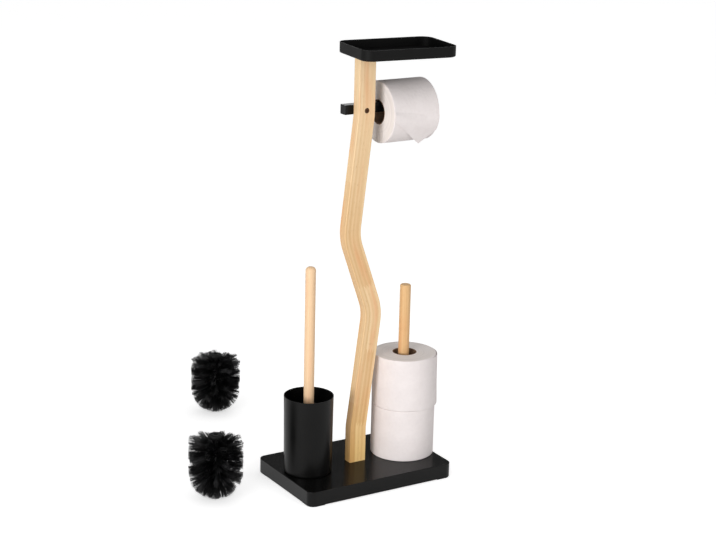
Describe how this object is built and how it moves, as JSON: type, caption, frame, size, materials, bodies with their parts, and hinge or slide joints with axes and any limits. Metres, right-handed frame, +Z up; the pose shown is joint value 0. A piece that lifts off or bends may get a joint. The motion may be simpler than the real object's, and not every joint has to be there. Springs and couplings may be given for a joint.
{
  "type": "toilet roll and brush stand",
  "caption": "Free-standing bathroom stand: heavy base, wavy wooden post, top tray, arm and upright dowel for toilet rolls, and a toilet brush in a tall cup with spare heads.",
  "frame": {"origin": "middle of the base, on the floor", "axes": "+Z up, +X from the brush cup towards the toilet rolls, -Y towards the front face of the post"},
  "size_m": [0.4889, 0.5555, 0.793],
  "materials": {
    "black_steel": "fine matt black powder coat",
    "board": "raw fibreboard",
    "foot_rubber": "matt rubber",
    "screw_steel": "plain zinc-plated steel",
    "post_wood": "pale satin-lacquered hardwood with a fine straight grain",
    "black_screw": "blackened steel",
    "bronze_bolt": "dark bronze-coloured steel",
    "stick_wood": "pale satin-lacquered turned wood",
    "black_plastic": "moulded black plastic",
    "black_bristle": "black plastic bristles",
    "card": "raw grey-brown card",
    "paper": "soft white tissue paper"
  },
  "bodies": {
    "stand": {"base_cover": "black_steel", "base_board": "board", "base_feet": "foot_rubber", "post_screws": "screw_steel", "dowel_screw": "screw_steel", "post": "post_wood", "tray": "black_steel", "tray_screws": "black_screw", "roll_arm": "black_steel", "arm_bolt": "bronze_bolt", "storage_dowel": "stick_wood"},
    "brush_cup": {"brush_cup": "black_steel"},
    "brush": {"brush_handle": "stick_wood", "handle_stud": "screw_steel", "brush_head_core": "black_plastic", "brush_head_bristles": "black_bristle"},
    "arm_roll": {"arm_roll_core": "card", "arm_roll_paper": "paper"},
    "lower_roll": {"lower_roll_core": "card", "lower_roll_paper": "paper"},
    "upper_roll": {"upper_roll_core": "card", "upper_roll_paper": "paper"},
    "spare_head_1": {"spare_head_1_core": "black_plastic", "spare_head_1_bristles": "black_bristle"},
    "spare_head_2": {"spare_head_2_core": "black_plastic", "spare_head_2_bristles": "black_bristle"}
  },
  "joints": [
    {"name": "cup_lift", "type": "slide", "parent": "stand", "child": "brush_cup", "axis": [0, 0, 1], "range_m": [0, 0.15]},
    {"name": "brush_lift", "type": "slide", "parent": "brush_cup", "child": "brush", "axis": [0, 0, 1], "range_m": [0, 0.16]},
    {"name": "arm_roll_spin", "type": "hinge", "parent": "stand", "child": "arm_roll", "pos_m": [0.088, 0.018, 0.66965], "axis": [1, 0, 0], "continuous": true},
    {"name": "lower_roll_lift", "type": "slide", "parent": "stand", "child": "lower_roll", "axis": [0, 0, -1], "range_m": [-0.33, 0]},
    {"name": "upper_roll_lift", "type": "slide", "parent": "lower_roll", "child": "upper_roll", "axis": [0, 0, 1], "range_m": [0, 0.235]},
    {"name": "spare_head_1_lift", "type": "slide", "parent": "stand", "child": "spare_head_1", "axis": [0, 0, 1], "range_m": [0, 0.1]},
    {"name": "spare_head_2_lift", "type": "slide", "parent": "stand", "child": "spare_head_2", "axis": [0, 0, 1], "range_m": [0, 0.1]}
  ]
}
